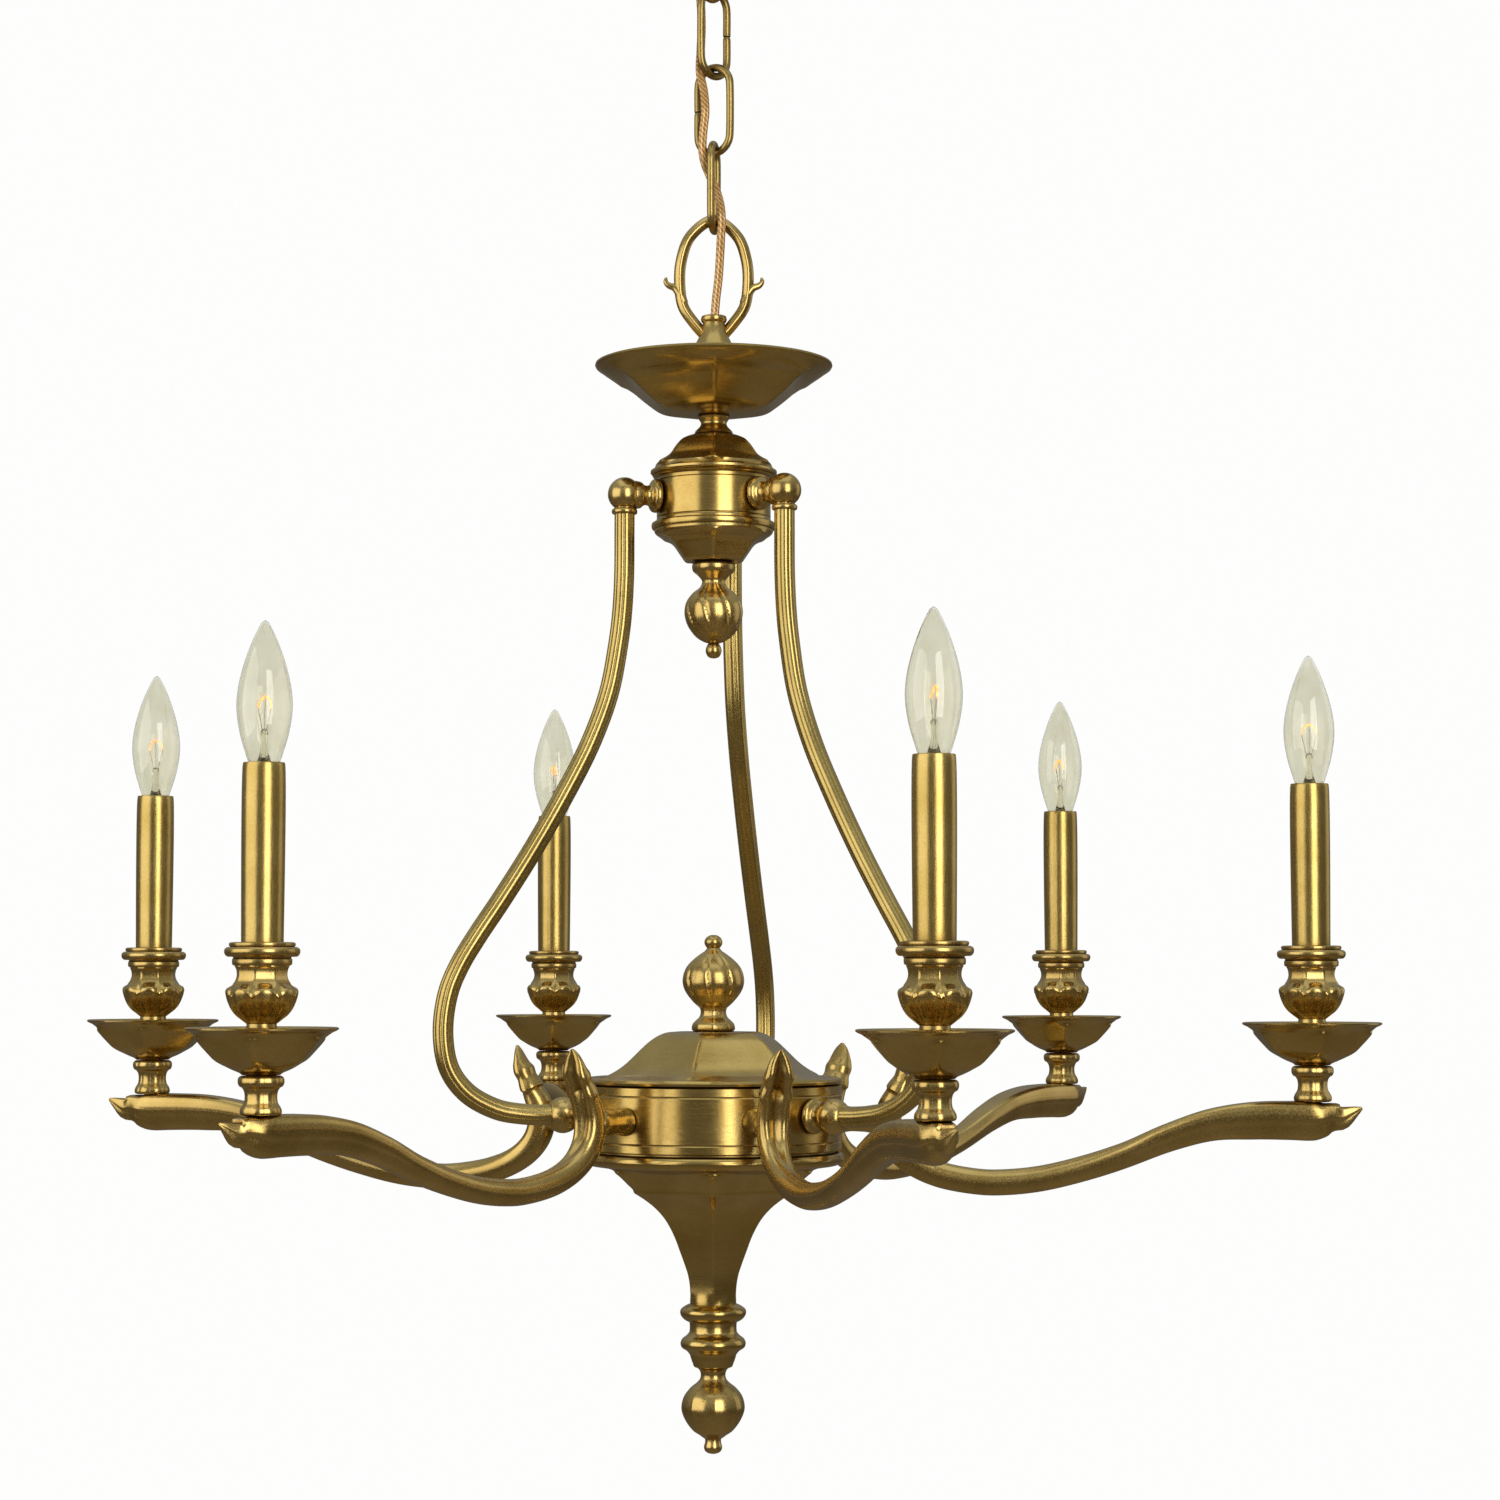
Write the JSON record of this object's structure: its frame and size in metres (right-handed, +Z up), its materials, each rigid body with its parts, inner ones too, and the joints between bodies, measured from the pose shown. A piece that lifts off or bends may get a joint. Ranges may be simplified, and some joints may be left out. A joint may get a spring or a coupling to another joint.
{
  "type": "multi arm chandelier",
  "caption": "Chain-hung brass chandelier with scrolled arms, drip pans, candle covers and clear torpedo bulbs around a turned and faceted hub.",
  "frame": {"origin": "middle of the ceiling strap's top face, on the ceiling", "axes": "+Z up, out of the ceiling face; +X along the first arm"},
  "size_m": [0.826, 0.7266, 0.998],
  "materials": {
    "brushed_brass": "brushed antique brass",
    "cast_brass": "satin cast antique brass with darker recesses",
    "reeded_brass": "reeded tube, antique brass",
    "chain_brass": "drawn wire, antique brass",
    "bulb_glass": "clear",
    "socket": "moulded",
    "cord": "clear gold",
    "steel": "zinc plated"
  },
  "bodies": {
    "ceiling": {"ceiling_strap": "steel", "canopy_loop": "cast_brass", "canopy": "brushed_brass", "canopy_collar": "cast_brass", "supply_cord": "cord"},
    "link_1": {"chain_link_1": "chain_brass"},
    "link_2": {"chain_link_2": "chain_brass"},
    "link_3": {"chain_link_3": "chain_brass"},
    "chandelier": {"top_loop": "cast_brass", "top_dish": "brushed_brass", "upper_stem": "cast_brass", "upper_cap": "cast_brass", "upper_drum": "brushed_brass", "upper_base": "cast_brass", "upper_finial": "cast_brass", "stay_1": "reeded_brass", "stay_2": "reeded_brass", "stay_3": "reeded_brass", "hub_cap": "brushed_brass", "hub_drum": "brushed_brass", "hub_base": "brushed_brass", "hub_finial": "cast_brass", "bottom_finial": "cast_brass", "hub_rod": "steel", "arm_1": "cast_brass", "arm_2": "cast_brass", "arm_3": "cast_brass", "arm_4": "cast_brass", "arm_5": "cast_brass", "arm_6": "cast_brass", "drip_pan_1": "cast_brass", "drip_pan_2": "cast_brass", "drip_pan_3": "cast_brass", "drip_pan_4": "cast_brass", "drip_pan_5": "cast_brass", "drip_pan_6": "cast_brass", "candle_cup_1": "cast_brass", "candle_cup_2": "cast_brass", "candle_cup_3": "cast_brass", "candle_cup_4": "cast_brass", "candle_cup_5": "cast_brass", "candle_cup_6": "cast_brass", "candle_cover_1": "brushed_brass", "candle_cover_2": "brushed_brass", "candle_cover_3": "brushed_brass", "candle_cover_4": "brushed_brass", "candle_cover_5": "brushed_brass", "candle_cover_6": "brushed_brass", "socket_1": "socket", "socket_2": "socket", "socket_3": "socket", "socket_4": "socket", "socket_5": "socket", "socket_6": "socket"},
    "bulb_1": {"bulb_1": "bulb_glass"},
    "bulb_2": {"bulb_2": "bulb_glass"},
    "bulb_3": {"bulb_3": "bulb_glass"},
    "bulb_4": {"bulb_4": "bulb_glass"},
    "bulb_5": {"bulb_5": "bulb_glass"},
    "bulb_6": {"bulb_6": "bulb_glass"}
  },
  "joints": [
    {"name": "link_1_swing", "type": "hinge", "parent": "ceiling", "child": "link_1", "pos_m": [0, 0, -0.0775], "axis": [0.8387, -0.5446, 0], "range_deg": [-30, 30], "deforming": ["supply_cord"]},
    {"name": "link_2_swing", "type": "hinge", "parent": "link_1", "child": "link_2", "pos_m": [0, 0, -0.1275], "axis": [0.5446, 0.8387, 0], "range_deg": [-30, 30]},
    {"name": "link_3_swing", "type": "hinge", "parent": "link_2", "child": "link_3", "pos_m": [0, 0, -0.1775], "axis": [0.9511, -0.309, 0], "range_deg": [-30, 30]},
    {"name": "chandelier_swing", "type": "hinge", "parent": "link_3", "child": "chandelier", "pos_m": [0, 0, -0.2275], "axis": [-0.0349, 0.9994, 0], "range_deg": [-30, 30]},
    {"name": "bulb_1_turn", "type": "hinge", "parent": "chandelier", "child": "bulb_1", "pos_m": [0.371, 0, -0.602], "axis": [0, 0, 1], "range_deg": [0, 1080]},
    {"name": "bulb_2_turn", "type": "hinge", "parent": "chandelier", "child": "bulb_2", "pos_m": [0.1855, 0.32129, -0.602], "axis": [0, 0, 1], "range_deg": [0, 1080]},
    {"name": "bulb_3_turn", "type": "hinge", "parent": "chandelier", "child": "bulb_3", "pos_m": [-0.1855, 0.32129, -0.602], "axis": [0, 0, 1], "range_deg": [0, 1080]},
    {"name": "bulb_4_turn", "type": "hinge", "parent": "chandelier", "child": "bulb_4", "pos_m": [-0.371, 0, -0.602], "axis": [0, 0, 1], "range_deg": [0, 1080]},
    {"name": "bulb_5_turn", "type": "hinge", "parent": "chandelier", "child": "bulb_5", "pos_m": [-0.1855, -0.32129, -0.602], "axis": [0, 0, 1], "range_deg": [0, 1080]},
    {"name": "bulb_6_turn", "type": "hinge", "parent": "chandelier", "child": "bulb_6", "pos_m": [0.1855, -0.32129, -0.602], "axis": [0, 0, 1], "range_deg": [0, 1080]}
  ]
}
